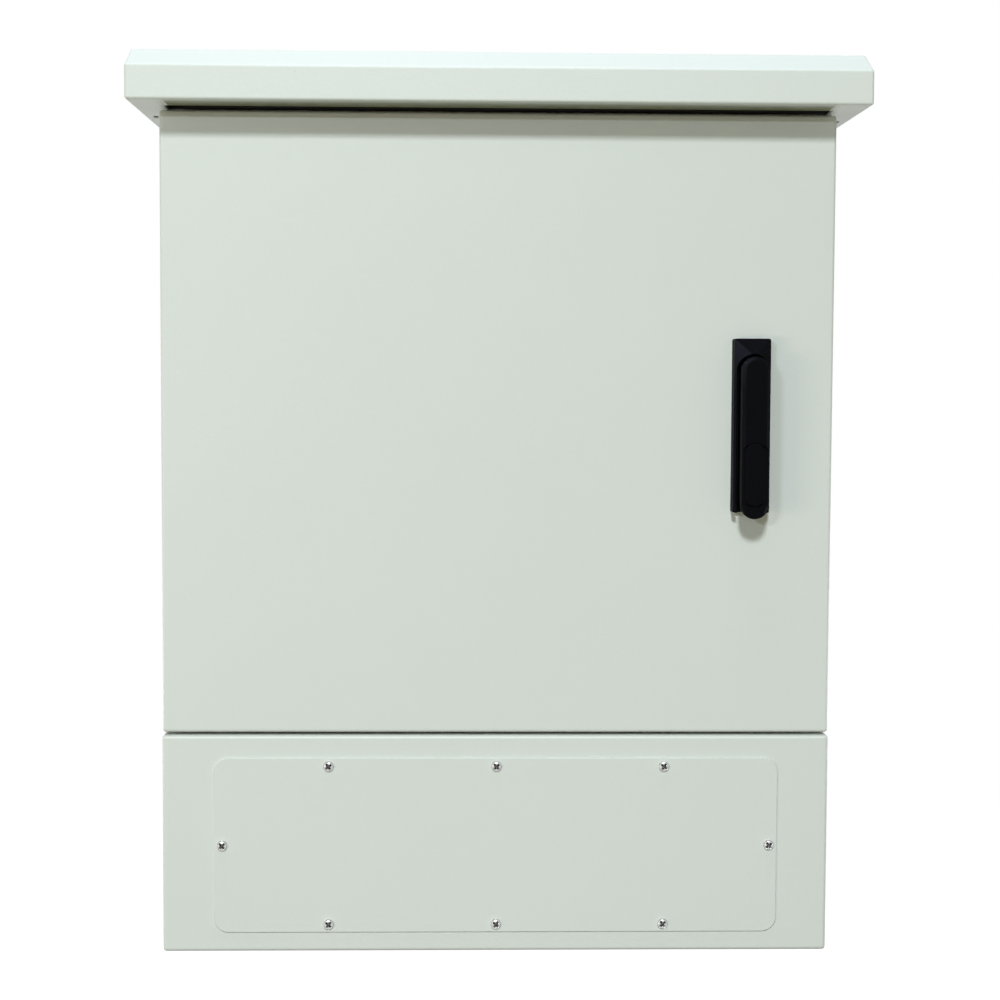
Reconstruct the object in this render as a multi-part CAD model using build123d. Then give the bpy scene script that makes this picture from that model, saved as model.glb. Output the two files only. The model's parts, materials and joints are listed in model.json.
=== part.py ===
from build123d import *
import os
from math import sqrt

os.makedirs("parts", exist_ok=True)

# Cabinet envelope in millimetres: X to the right, Y to the back, Z up from the floor
cabinet_width = 650.0
cabinet_depth = 400.0
plinth_height = 213.5
door_height = 597.5
door_gap = 3.0
door_side_reveal = 1.0
eave_gap = 2.5
body_rise = 19.5

# Sheet metal
body_sheet = 1.5
door_sheet = 1.5
roof_sheet = 1.5
rail_sheet = 1.5
plinth_sheet = 2.0
plate_sheet = 2.0
bend_radius = 1.5
cut_past = 2.0

# Rain roof and its rails
roof_side_overhang = 23.0
roof_front_overhang = 53.0
roof_rear_overhang = 25.0
roof_skirt = 32.0
roof_slope_run = 39.0
roof_slope_rise = 20.0
roof_fold_radius = 2.5
roof_body_clearance = 1.0
front_soffit_width = 41.0
front_slot_inset = 7.5
eave_vent_length = 16.0
eave_vent_width = 5.0
eave_vent_pitch = 50.0
eave_vent_count = 6
eave_vent_setback = 123.0
roof_rail_inset = 125.0
roof_rail_end_margin = 35.5
roof_rail_width = 40.0
roof_rail_foot = 26.0
roof_bolt_end_inset = 30.0

# Door frame of the body: rain channel, sealing lip, back flanges
door_depth = 23.0
frame_gap = 6.0
channel_width = 28.0
lip_height = 16.0
rear_flange = 20.0

# Door gasket and stiffeners
gasket_width = 14.0
gasket_touch_gap = 0.3
gasket_inner_radius = 3.0
stiffener_handle_gap = 93.0
stiffener_width = 40.0
stiffener_height = 12.0
stiffener_foot = 14.0
stiffener_end_margin = 75.0

# Concealed hinges
pivot_inset = 10.0
pivot_setback = 12.0
hinge_end_inset = 95.0
hinge_pin_radius = 3.0
hinge_pin_clearance = 0.05
hinge_pin_head_radius = 4.5
hinge_pin_head_height = 2.0
knuckle_radius = 5.0
knuckle_gap = 0.4
body_knuckle_height = 14.0
door_knuckle_height = 24.0
leaf_thickness = 3.0
leaf_arm_width = 5.0
body_leaf_outward = 9.0
body_leaf_inward = 13.0
door_leaf_outward = 6.5
door_leaf_inward = 8.5
hinge_screw_offset = 8.0
hinge_screw_spacing = 34.0
notch_clearance = 2.0
notch_web = 4.0

# Plinth, its cover and the floor fixings
plinth_top_flange = 30.0
plinth_foot_flange = 45.0
anchor_hole_radius = 7.0
anchor_inset = 25.0
body_bolt_inset = 15.0
body_bolt_end_inset = 50.0
cover_side_margin = 50.0
cover_sheet = 2.0
cover_bottom_margin = 19.5
cover_top_margin = 22.0
cover_corner_radius = 14.0
cover_edge_radius = 0.6
cover_screw_inset = 8.0
cover_screw_pitch = 163.5
cover_overlap = 16.0
cover_opening_radius = 8.0

# Floor opening, gland plate and grommets
gland_opening_width = 320.0
gland_opening_depth = 130.0
gland_plate_lap = 15.0
gland_plate_radius = 6.0
gland_setback = 20.0
grommet_count = 4
grommet_pitch = 72.0
grommet_hole_radius = 18.0
grommet_groove_gap = 0.3
grommet_flange = 3.5
grommet_flange_height = 2.5
grommet_membrane = 1.2

# Mounting plate on the back panel
mounting_plate_side_margin = 55.0
mounting_plate_end_margin = 37.5
mounting_plate_depth = 14.0
mounting_stud_inset = 30.0
spacer_length = 24.0
spacer_radius = 8.0
stud_end = 10.0

# M8 bolts and nuts
m8_radius = 4.0
m8_hole_radius = 4.5
m8_nut_bore_radius = 4.1
m8_flats = 13.0
m8_head_height = 5.3
m8_nut_height = 6.5
m8_end = 2.0

# M5 pan-head screws and nuts
m5_radius = 2.4
m5_hole_radius = 2.75
m5_nut_bore_radius = 2.5
m5_nut_flats = 8.0
m5_nut_height = 4.0
m5_head_radius = 5.0
m5_head_height = 3.4
m5_head_edge_radius = 1.9
m5_end = 1.5
recess_length = 5.4
recess_width = 1.1
recess_depth = 1.6

# Swing handle: bevelled base
handle_edge_inset = 81.0
handle_rise = 1.0
handle_seal_thickness = 1.0
handle_seal_inset = 0.6
base_width = 35.0
base_height = 167.0
base_edge_height = 17.0
base_ridge_rise = 12.0
base_bevel_run = 14.0
base_edge_radius = 2.0
groove_width = 2.4
groove_floor = 7.0
island_inset = 1.5
boss_radius = 10.0
boss_reach = 9.0
door_hole_gap = 0.3
post_radius = 4.5
post_end_inset = 17.5
post_screw_depth = 9.0

# Swing handle: lever, spindle and lever pin
lever_side_margin = 4.5
lever_overhang = 4.5
lever_thickness = 13.6
lever_top_inset = 17.5
lever_float = 0.4
lever_edge_chamfer = 3.0
lever_grip_run = 30.0
lever_grip_depth = 5.0
lever_lift_angle = 35.0
tongue_thickness = 9.0
tongue_radius = 4.5
fork_clearance = 0.4
lever_pin_radius = 2.0
lever_pin_clearance = 0.05
lever_pin_inset = 2.5
collar_radius = 8.7
collar_gap = 0.3
collar_height = 5.5
collar_sink = 7.0
collar_float = 0.1
shaft_radius = 6.93
shaft_clearance = 0.07
square_size = 9.0
square_clearance = 0.1

# Swing handle: dust cover and key plug
dust_cover_side_margin = 3.9
dust_cover_thickness = 2.0
dust_cover_length = 51.4
dust_cover_pivot_rise = 63.4
dust_cover_gap = 0.4
dust_cover_underside_gap = 0.3
dust_cover_swing = 60.0
dust_cover_edge_chamfer = 0.5
stub_radius = 2.5
stub_length = 6.0
plug_drop = 28.0
plug_radius = 5.0
plug_clearance = 0.07
plug_end_gap = 0.2
key_slot_width = 1.4
key_slot_length = 6.4
key_slot_depth = 7.0
tail_thickness = 2.5
tail_width = 5.0
tail_pocket_radius = 7.0
tail_end_gap = 0.5

# Lock inside the door: bracket, cam, rods and guides
lock_bracket_width = 32.0
lock_bracket_end_margin = 15.4
lock_bracket_thickness = 2.5
lock_bracket_radius = 4.0
boss_nut_flats = 27.0
boss_nut_height = 4.5
boss_nut_gap = 0.1
cam_frame_gap = 2.2
cam_thickness = 3.0
cam_radius = 25.0
cam_tongue_width = 18.0
cam_tongue_lap = 13.0
crank_radius = 20.0
crank_pin_radius = 3.0
crank_pin_end = 0.5
cam_bolt_radius = 3.0
cam_bolt_hole_gap = 0.1
cam_bolt_head_radius = 5.0
cam_bolt_head_height = 3.6
cam_bolt_reach = 12.0
rod_width = 20.0
rod_thickness = 4.0
rod_cam_gap = 0.4
rod_slot_end_gap = 0.4
rod_slot_play = 0.8
rod_foot = 9.0
rod_tip_chamfer = 5.0
rod_rest_gap = 7.5
rod_guide_sheet = 2.0
rod_guide_width = 36.0
rod_guide_foot = 25.0
rod_guide_offset = 52.0
rod_guide_clearance = 0.3
rod_guide_end = 6.0

# Places that follow from the sizes above
side_x = cabinet_width / 2
front_y = -cabinet_depth / 2
back_y = cabinet_depth / 2
door_bottom_z = plinth_height + door_gap
door_top_z = door_bottom_z + door_height
door_middle_z = (door_bottom_z + door_top_z) / 2
soffit_z = door_top_z + eave_gap
body_top_z = soffit_z + body_rise
body_height = body_top_z - plinth_height
crease_z = soffit_z + roof_skirt
roof_top_z = crease_z + roof_slope_rise
roof_front_y = front_y - roof_front_overhang
roof_rear_y = back_y + roof_rear_overhang
roof_half_width = side_x + roof_side_overhang

door_half_width = side_x - door_side_reveal
door_inner_y = front_y + door_sheet
body_front_y = front_y + door_depth + frame_gap
body_middle_y = (body_front_y + back_y) / 2
lip_x = side_x - channel_width
lip_inset = channel_width - door_side_reveal
lip_top_z = door_top_z - lip_inset
lip_bottom_z = door_bottom_z + lip_inset
lip_tip_y = body_front_y - lip_height
lip_middle_z = (lip_top_z + lip_bottom_z) / 2
back_panel_y = back_y - body_sheet
floor_top_z = plinth_height + body_sheet
pivot_x = pivot_inset - door_half_width
pivot_y = front_y + pivot_setback
hinge_height = 2 * body_knuckle_height + 2 * knuckle_gap + door_knuckle_height
hinge_levels = (door_bottom_z + hinge_end_inset, door_top_z - hinge_end_inset)
flange_reach = body_front_y - pivot_y
skin_reach = pivot_setback - door_sheet

roof_rail_x = side_x - roof_rail_inset
roof_rail_length = back_y - body_front_y - 2 * roof_rail_end_margin
cover_width = cabinet_width - 2 * cover_side_margin
cover_height = plinth_height - cover_bottom_margin - cover_top_margin
cover_middle_z = cover_bottom_margin + cover_height / 2
gland_y = body_middle_y + gland_setback
mounting_plate_width = cabinet_width - 2 * mounting_plate_side_margin
mounting_plate_height = lip_top_z - lip_bottom_z - 2 * mounting_plate_end_margin
mounting_plate_y = back_panel_y - spacer_length - plate_sheet

handle_x = door_half_width - handle_edge_inset
handle_z = door_middle_z + handle_rise
stiffener_x = handle_x - stiffener_handle_gap
base_back = handle_seal_thickness
base_shoulder = base_back + base_edge_height
base_ridge = base_shoulder + base_ridge_rise
lever_back = base_ridge + lever_float
lever_front = lever_back + lever_thickness
lever_width = base_width - 2 * lever_side_margin
lever_top_rise = base_height / 2 - lever_top_inset
lever_bottom = -base_height / 2 - lever_overhang
lever_length = lever_top_rise - lever_bottom
lever_pin_length = lever_width - 2 * lever_pin_inset
lift_radius = lever_thickness / 2
spindle_rise = lever_top_rise - lift_radius
lift_depth = lever_back + lift_radius
collar_top = base_ridge - collar_sink
collar_seat = collar_top - collar_height
post_drop = base_height / 2 - post_end_inset
dust_cover_radius = lever_width / 2 - dust_cover_side_margin
dust_cover_rise = lever_bottom + dust_cover_pivot_rise
step_floor = lever_front - dust_cover_thickness - dust_cover_underside_gap
plug_rise = dust_cover_rise - plug_drop
lock_bracket_height = spindle_rise + post_drop + 2 * lock_bracket_end_margin
bracket_inner = -door_sheet - lock_bracket_thickness
cam_front = front_y - body_front_y - body_sheet - cam_frame_gap
cam_back = cam_front - cam_thickness
rod_front = cam_back - rod_cam_gap
rod_back = rod_front - rod_thickness
crank_drop = crank_radius / sqrt(2)
crank_reach = (crank_radius + crank_drop) / 2
spindle_z = handle_z + spindle_rise
rod_middle_y = front_y - (rod_front + rod_back) / 2
rod_slot_length = crank_radius - crank_drop + 2 * crank_pin_radius + 2 * rod_slot_end_gap
rod_slot_height = 2 * crank_pin_radius + 2 * rod_slot_play

# The handle's own frame: x to the right, y up, z out of the door
handle_plane = Plane(origin=(handle_x, front_y, handle_z), x_dir=(1, 0, 0), z_dir=(0, -1, 0))


def round_corner(face, corner, radius):
    return fillet(face.vertices().sort_by_distance(corner)[0], radius)


def folded_profile(path, sheet):
    """Section of a folded sheet: the path is one skin, the metal lies to its left."""
    skin = [Vector(*point) for point in path]
    runs = [(end - start).normalized() for start, end in zip(skin, skin[1:])]
    lefts = [Vector(-run.Y, run.X) for run in runs]
    other = [skin[0] + lefts[0] * sheet]
    for corner, before, after in zip(skin[1:], lefts, lefts[1:]):
        other.append(corner + (before + after) * (sheet / (1 + before.dot(after))))
    other.append(skin[-1] + lefts[-1] * sheet)
    face = make_face(Polyline(*skin, *reversed(other), close=True))
    for index, (before, after) in enumerate(zip(runs, runs[1:]), start=1):
        inside, outside = skin[index], other[index]
        if before.cross(after).Z > 0:
            inside, outside = outside, inside
        face = round_corner(face, inside, bend_radius)
        face = round_corner(face, outside, bend_radius + sheet)
    return face


def hat_profile(middle, base, width, height, foot, sheet):
    """Section of a hat channel whose feet lie on the base line."""
    inner_half = width / 2 - sheet
    outer_half = width / 2 + foot
    top = base + height - sheet
    path = [
        (middle - outer_half, base),
        (middle - inner_half, base),
        (middle - inner_half, top),
        (middle + inner_half, top),
        (middle + inner_half, base),
        (middle + outer_half, base),
    ]
    return folded_profile(path, sheet)


def rounded_box(length, width, height, radius):
    box = Box(length, width, height)
    return fillet(box.edges(), radius)


def open_block(width, depth, height, radius):
    """Block with its front at Y 0, rounded everywhere but at the back."""
    block = Box(width, depth, height, align=(Align.CENTER, Align.MIN, Align.CENTER))
    levels = block.edges().group_by(Axis.Y)
    return fillet(levels[0] + levels[1], radius)


def folded_tray(width, depth, height, sheet):
    """Sheet pan with its front at Y 0 and its open side to the back."""
    outer = open_block(width, depth, height, bend_radius + sheet)
    inner = open_block(width - 2 * sheet, depth, height - 2 * sheet, bend_radius)
    return outer - Pos(0, sheet, 0) * inner


def rod_along(radius, start, end):
    """Round bar along the local z from start to end."""
    bar = Cylinder(radius, end - start, align=(Align.CENTER, Align.CENTER, Align.MIN))
    return Pos(0, 0, start) * bar


def slab(face, start, end):
    """Face of the local xy plane made solid from start to end along z."""
    return Pos(0, 0, start) * extrude(face, end - start)


def hexagon(flats):
    return RegularPolygon(flats / 2, 6, major_radius=False)


def hex_bolt(grip):
    """M8 bolt along z: the head stands on z 0, the shank goes down."""
    return slab(hexagon(m8_flats), 0, m8_head_height) + rod_along(m8_radius, -grip, 0)


def hex_nut(flats, height, bore):
    return slab(hexagon(flats) - Circle(bore), 0, height)


def pan_screw(grip):
    """M5 screw along z: the domed head stands on z 0, the shank goes down."""
    head = rod_along(m5_head_radius, 0, m5_head_height)
    head = fillet(head.edges().sort_by(Axis.Z)[-1], m5_head_edge_radius)
    floor = m5_head_height - recess_depth
    for slot in (Rectangle(recess_length, recess_width), Rectangle(recess_width, recess_length)):
        head -= slab(slot, floor, m5_head_height + cut_past)
    return head + rod_along(m5_radius, -grip, 0)


def group(shape, places):
    return Compound([place * shape for place in places])


def front_place(x, y, z):
    """Place whose local z looks out of the cabinet's front."""
    return Plane(origin=(x, y, z), x_dir=(1, 0, 0), z_dir=(0, -1, 0)).location


def corners(half_x, half_y):
    return [(sx * half_x, sy * half_y) for sx in (-1, 1) for sy in (-1, 1)]


# Places of the repeated fixings
cover_screw_x = cover_width / 2 - cover_screw_inset
cover_screw_z = cover_height / 2 - cover_screw_inset
cover_screw_spots = [
    (step * cover_screw_pitch, side * cover_screw_z) for side in (-1, 1) for step in (-1, 0, 1)
]
cover_screw_spots += [(side * cover_screw_x, 0) for side in (-1, 1)]
anchor_spots = corners(side_x - anchor_inset, back_y - anchor_inset)
body_bolt_spots = corners(side_x - body_bolt_inset, back_y - body_bolt_end_inset)
roof_bolt_x = roof_rail_x + roof_rail_width / 2 + roof_rail_foot / 2
roof_bolt_y = roof_rail_length / 2 - roof_bolt_end_inset
roof_bolt_spots = [(x, body_middle_y + y) for x, y in corners(roof_bolt_x, roof_bolt_y)]
gland_screw_y = gland_opening_depth / 2 + gland_plate_lap / 2
gland_screw_spots = [
    (step * gland_opening_width / 2, gland_y + side * gland_screw_y)
    for side in (-1, 1)
    for step in (-1, 0, 1)
]
grommet_spots = [
    ((index - (grommet_count - 1) / 2) * grommet_pitch, gland_y) for index in range(grommet_count)
]
mounting_half_x = mounting_plate_width / 2 - mounting_stud_inset
mounting_half_z = mounting_plate_height / 2 - mounting_stud_inset
mounting_spots = [(x, lip_middle_z + z) for x, z in corners(mounting_half_x, mounting_half_z)]


def plinth():
    shell = rounded_box(cabinet_width, cabinet_depth, plinth_height, bend_radius + plinth_sheet)
    hollow = rounded_box(
        cabinet_width - 2 * plinth_sheet,
        cabinet_depth - 2 * plinth_sheet,
        plinth_height - 2 * plinth_sheet,
        bend_radius,
    )
    frame = Pos(0, 0, plinth_height / 2) * (shell - hollow)
    foot_window = Rectangle(
        cabinet_width - 2 * plinth_foot_flange, cabinet_depth - 2 * plinth_foot_flange
    )
    top_window = Rectangle(
        cabinet_width - 2 * plinth_top_flange, cabinet_depth - 2 * plinth_top_flange
    )
    frame -= slab(foot_window, -cut_past, plinth_sheet + cut_past)
    frame -= slab(top_window, plinth_height - plinth_sheet - cut_past, plinth_height + cut_past)
    access = RectangleRounded(
        cover_width - 2 * cover_overlap, cover_height - 2 * cover_overlap, cover_opening_radius
    )
    front = front_place(0, front_y, cover_middle_z)
    frame -= front * slab(access, -plinth_sheet - cut_past, cut_past)
    for x, z in cover_screw_spots:
        hole = rod_along(m5_hole_radius, -plinth_sheet - cut_past, cut_past)
        frame -= front * (Pos(x, z, 0) * hole)
    for x, y in anchor_spots:
        frame -= Pos(x, y, 0) * rod_along(anchor_hole_radius, -cut_past, plinth_sheet + cut_past)
    for x, y in body_bolt_spots:
        top = Pos(x, y, plinth_height)
        frame -= top * rod_along(m8_hole_radius, -plinth_sheet - cut_past, cut_past)
    return frame


def plinth_cover():
    outline = RectangleRounded(cover_width, cover_height, cover_corner_radius)
    plate = slab(outline, 0, cover_sheet)
    plate = fillet(plate.faces().sort_by(Axis.Z)[-1].edges(), cover_edge_radius)
    for x, z in cover_screw_spots:
        plate -= Pos(x, z, 0) * rod_along(m5_hole_radius, -cut_past, cover_sheet + cut_past)
    return front_place(0, front_y, cover_middle_z) * plate


def plinth_cover_screws():
    grip = cover_sheet + plinth_sheet + m5_nut_height + m5_end
    front = front_place(0, front_y - cover_sheet, cover_middle_z)
    return group(pan_screw(grip), [front * Pos(x, z, 0) for x, z in cover_screw_spots])


def plinth_cover_nuts():
    nut = hex_nut(m5_nut_flats, m5_nut_height, m5_nut_bore_radius)
    back = front_place(0, front_y + plinth_sheet + m5_nut_height, cover_middle_z)
    return group(nut, [back * Pos(x, z, 0) for x, z in cover_screw_spots])


def plinth_bolts():
    bolt = hex_bolt(body_sheet + plinth_sheet + m8_nut_height + m8_end)
    return group(bolt, [Pos(x, y, floor_top_z) for x, y in body_bolt_spots])


def plinth_nuts():
    nut = hex_nut(m8_flats, m8_nut_height, m8_nut_bore_radius)
    level = plinth_height - plinth_sheet - m8_nut_height
    return group(nut, [Pos(x, y, level) for x, y in body_bolt_spots])


def side_panel():
    """Right-hand side panel: sealing lip, rain channel, side and back flange in one sheet."""
    path = [
        (lip_x, lip_tip_y),
        (lip_x, body_front_y),
        (side_x, body_front_y),
        (side_x, back_panel_y),
        (side_x - rear_flange, back_panel_y),
    ]
    panel = slab(folded_profile(path, body_sheet), plinth_height, body_top_z)
    lip_block = Rectangle(2 * channel_width, 2 * lip_height)
    lip_place = Pos(lip_x, body_front_y - lip_height, 0)
    panel -= lip_place * slab(lip_block, plinth_height - cut_past, lip_bottom_z)
    return panel - lip_place * slab(lip_block, lip_top_z, body_top_z + cut_past)


def hinge_screw_spots(level):
    half = hinge_screw_spacing / 2
    return [(pivot_x + hinge_screw_offset, level + side * half) for side in (-1, 1)]


def hinge_side_panel():
    panel = mirror(side_panel(), about=Plane.YZ)
    for level in hinge_levels:
        for x, z in hinge_screw_spots(level):
            hole = rod_along(m5_hole_radius, -body_sheet - cut_past, cut_past)
            panel -= front_place(x, body_front_y, z) * hole
    return panel


def back_panel():
    outline = RectangleRounded(cabinet_width, body_height, bend_radius)
    return front_place(0, back_y, plinth_height + body_height / 2) * slab(outline, 0, body_sheet)


def pan_blank():
    """Flat between the side panels, clear of their back flanges and bend corners."""
    front = body_front_y + body_sheet
    back = back_panel_y - body_sheet
    outline = RectangleRounded(cabinet_width - 2 * body_sheet, back - front, bend_radius)
    return Pos(0, (front + back) / 2, 0) * outline


def frame_pan(path):
    """Folded front rail and flat that run between the two sealing lips."""
    return extrude(Plane.YZ * folded_profile(path, body_sheet), lip_x - body_sheet, both=True)


def floor_pan():
    path = [
        (lip_tip_y, lip_bottom_z),
        (body_front_y, lip_bottom_z),
        (body_front_y, plinth_height),
        (back_panel_y, plinth_height),
    ]
    pan = frame_pan(path) + slab(pan_blank(), plinth_height, floor_top_z)
    opening = Pos(0, gland_y, 0) * Rectangle(gland_opening_width, gland_opening_depth)
    below = plinth_height - cut_past
    above = floor_top_z + cut_past
    pan -= slab(opening, below, above)
    for x, y in body_bolt_spots:
        pan -= Pos(x, y, 0) * rod_along(m8_hole_radius, below, above)
    for x, y in gland_screw_spots:
        pan -= Pos(x, y, 0) * rod_along(m5_hole_radius, below, above)
    return pan


def top_plate():
    path = [
        (back_panel_y, body_top_z),
        (body_front_y, body_top_z),
        (body_front_y, lip_top_z),
        (lip_tip_y, lip_top_z),
    ]
    plate = frame_pan(path) + slab(pan_blank(), body_top_z - body_sheet, body_top_z)
    for x, y in roof_bolt_spots:
        hole = rod_along(m8_hole_radius, body_top_z - body_sheet - cut_past, body_top_z + cut_past)
        plate -= Pos(x, y, 0) * hole
    return plate


def gland_plate():
    outline = RectangleRounded(
        gland_opening_width + 2 * gland_plate_lap,
        gland_opening_depth + 2 * gland_plate_lap,
        gland_plate_radius,
    )
    bottom = floor_top_z
    top = floor_top_z + plate_sheet
    plate = slab(Pos(0, gland_y, 0) * outline, bottom, top)
    for x, y in gland_screw_spots:
        plate -= Pos(x, y, 0) * rod_along(m5_hole_radius, bottom - cut_past, top + cut_past)
    for x, y in grommet_spots:
        plate -= Pos(x, y, 0) * rod_along(grommet_hole_radius, bottom - cut_past, top + cut_past)
    return plate


def gland_screws():
    screw = pan_screw(plate_sheet + body_sheet + m5_end)
    return group(screw, [Pos(x, y, floor_top_z + plate_sheet) for x, y in gland_screw_spots])


def cable_grommets():
    """Blind rubber grommets: two flanges about the plate and a thin skin across."""
    groove = grommet_hole_radius - grommet_groove_gap
    flange = groove + grommet_flange
    throat = groove - grommet_flange
    high = plate_sheet + grommet_flange_height
    section = Polyline(
        (0, high - grommet_membrane),
        (throat, high - grommet_membrane),
        (throat, -grommet_flange_height),
        (flange, -grommet_flange_height),
        (flange, 0),
        (groove, 0),
        (groove, plate_sheet),
        (flange, plate_sheet),
        (flange, high),
        (0, high),
        close=True,
    )
    grommet = revolve(Plane.XZ * make_face(section), Axis.Z)
    return group(grommet, [Pos(x, y, floor_top_z) for x, y in grommet_spots])


def roof_section():
    """Side view of the cap in the YZ plane."""
    outline = Polyline(
        (roof_front_y, soffit_z),
        (roof_front_y, crease_z),
        (roof_front_y + roof_slope_run, roof_top_z),
        (roof_rear_y - roof_slope_run, roof_top_z),
        (roof_rear_y, crease_z),
        (roof_rear_y, soffit_z),
        close=True,
    )
    return make_face(outline)


def roof():
    section = roof_section()
    cap = extrude(Plane.YZ * section, roof_half_width, both=True)
    cap = fillet(cap.edges(), roof_fold_radius)
    inner = offset(section, amount=-roof_sheet, kind=Kind.INTERSECTION)
    cap -= extrude(Plane.YZ * inner, roof_half_width - roof_sheet, both=True)
    window_half_x = side_x + roof_body_clearance
    window_front = body_front_y - roof_body_clearance
    window_back = back_y + roof_body_clearance
    slot_front = roof_front_y + front_soffit_width
    window = Rectangle(2 * window_half_x, window_back - window_front)
    window = Pos(0, (window_back + window_front) / 2, 0) * window
    slot = Rectangle(2 * (side_x - front_slot_inset), body_front_y - slot_front)
    window += Pos(0, (body_front_y + slot_front) / 2, 0) * slot
    cap -= slab(window, soffit_z - cut_past, soffit_z + roof_sheet + cut_past)
    vent_x = (roof_half_width + window_half_x) / 2
    vent = SlotOverall(eave_vent_length, eave_vent_width, rotation=90)
    vent = slab(vent, soffit_z - cut_past, soffit_z + roof_sheet + cut_past)
    for side in (-1, 1):
        for index in range(eave_vent_count):
            y = roof_front_y + eave_vent_setback + index * eave_vent_pitch
            cap -= Pos(side * vent_x, y, 0) * vent
    return cap


def roof_rail(side):
    height = roof_top_z - roof_sheet - body_top_z
    middle = side * roof_rail_x
    section = hat_profile(middle, body_top_z, roof_rail_width, height, roof_rail_foot, rail_sheet)
    rail = extrude(Plane.XZ * section, roof_rail_length / 2, both=True)
    rail = Pos(0, body_middle_y, 0) * rail
    for x, y in roof_bolt_spots:
        if x * side > 0:
            hole = rod_along(m8_hole_radius, body_top_z - cut_past, body_top_z + rail_sheet + cut_past)
            rail -= Pos(x, y, 0) * hole
    return rail


def roof_bolts():
    grip = body_sheet + rail_sheet + m8_nut_height + m8_end
    bolt = Rot(180, 0, 0) * hex_bolt(grip)
    return group(bolt, [Pos(x, y, body_top_z - body_sheet) for x, y in roof_bolt_spots])


def roof_nuts():
    nut = hex_nut(m8_flats, m8_nut_height, m8_nut_bore_radius)
    return group(nut, [Pos(x, y, body_top_z + rail_sheet) for x, y in roof_bolt_spots])


def mounting_plate():
    tray = folded_tray(mounting_plate_width, mounting_plate_depth, mounting_plate_height, plate_sheet)
    plate = Pos(0, mounting_plate_y, lip_middle_z) * tray
    for x, z in mounting_spots:
        hole = rod_along(m8_hole_radius, -plate_sheet - cut_past, cut_past)
        plate -= front_place(x, mounting_plate_y, z) * hole
    return plate


def plate_studs():
    reach = spacer_length + plate_sheet + m8_nut_height + stud_end
    stud = rod_along(m8_radius, 0, reach)
    return group(stud, [front_place(x, back_panel_y, z) for x, z in mounting_spots])


def plate_spacers():
    tube = slab(Circle(spacer_radius) - Circle(m8_hole_radius), 0, spacer_length)
    return group(tube, [front_place(x, back_panel_y, z) for x, z in mounting_spots])


def plate_nuts():
    nut = hex_nut(m8_flats, m8_nut_height, m8_nut_bore_radius)
    return group(nut, [front_place(x, mounting_plate_y, z) for x, z in mounting_spots])


def knuckle(reach, bottom, top):
    """Hinge eye about the local z with an arm to the leaf, which lies at the given y."""
    arm = Pos(0, reach / 2, 0) * Rectangle(leaf_arm_width, abs(reach))
    return slab(Circle(knuckle_radius) + arm, bottom, top)


def pin_bore():
    bore = hinge_pin_radius + hinge_pin_clearance
    return rod_along(bore, -hinge_height / 2 - cut_past, hinge_height / 2 + cut_past)


def hinge_body(level):
    half = hinge_height / 2
    leaf_width = body_leaf_outward + body_leaf_inward
    outline = Pos((body_leaf_inward - body_leaf_outward) / 2, flange_reach - leaf_thickness / 2, 0)
    leaf = slab(outline * Rectangle(leaf_width, leaf_thickness), -half, half)
    arm_reach = flange_reach - leaf_thickness / 2
    leaf += knuckle(arm_reach, half - body_knuckle_height, half)
    leaf += knuckle(arm_reach, -half, body_knuckle_height - half)
    leaf -= pin_bore()
    leaf = Pos(pivot_x, pivot_y, level) * leaf
    for x, z in hinge_screw_spots(level):
        hole = rod_along(m5_hole_radius, -cut_past, leaf_thickness + cut_past)
        leaf -= front_place(x, body_front_y, z) * hole
    return leaf


def hinge_door(level):
    half = hinge_height / 2
    leaf_width = door_leaf_outward + door_leaf_inward
    outline = Pos((door_leaf_inward - door_leaf_outward) / 2, leaf_thickness / 2 - skin_reach, 0)
    leaf = slab(outline * Rectangle(leaf_width, leaf_thickness), -half, half)
    eye = door_knuckle_height / 2
    leaf += knuckle(leaf_thickness / 2 - skin_reach, -eye, eye)
    leaf -= pin_bore()
    return Pos(pivot_x, pivot_y, level) * leaf


def hinge_pin(level):
    half = hinge_height / 2
    pin = rod_along(hinge_pin_radius, -half, half)
    pin += rod_along(hinge_pin_head_radius, half, half + hinge_pin_head_height)
    return Pos(pivot_x, pivot_y, level) * pin


def hinge_screws():
    screw = pan_screw(leaf_thickness + body_sheet + m5_end)
    spots = [spot for level in hinge_levels for spot in hinge_screw_spots(level)]
    return group(screw, [front_place(x, body_front_y - leaf_thickness, z) for x, z in spots])


def door():
    tray = folded_tray(2 * door_half_width, door_depth, door_height, door_sheet)
    leaf = Pos(0, front_y, door_middle_z) * tray
    boss_hole = rod_along(boss_radius + door_hole_gap, -door_sheet - cut_past, cut_past)
    post_hole = rod_along(post_radius + door_hole_gap, -door_sheet - cut_past, cut_past)
    leaf -= handle_plane * (Pos(0, spindle_rise, 0) * boss_hole)
    leaf -= handle_plane * (Pos(0, -post_drop, 0) * post_hole)
    notch_height = hinge_height + 2 * notch_clearance
    notch_depth = door_depth - notch_web
    for level in hinge_levels:
        notch = Box(2 * pivot_inset, 2 * notch_depth, notch_height)
        leaf -= Pos(-door_half_width, front_y + notch_web + notch_depth, level) * notch
    return leaf


def door_gasket():
    middle_x = lip_x - body_sheet / 2
    middle_half = (lip_top_z - lip_bottom_z - body_sheet) / 2
    inner_width = 2 * middle_x - gasket_width
    inner_height = 2 * middle_half - gasket_width
    ring = RectangleRounded(
        inner_width + 2 * gasket_width, inner_height + 2 * gasket_width, gasket_inner_radius + gasket_width
    )
    ring -= RectangleRounded(inner_width, inner_height, gasket_inner_radius)
    thickness = lip_tip_y - gasket_touch_gap - door_inner_y
    return front_place(0, door_inner_y + thickness, lip_middle_z) * slab(ring, 0, thickness)


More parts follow.
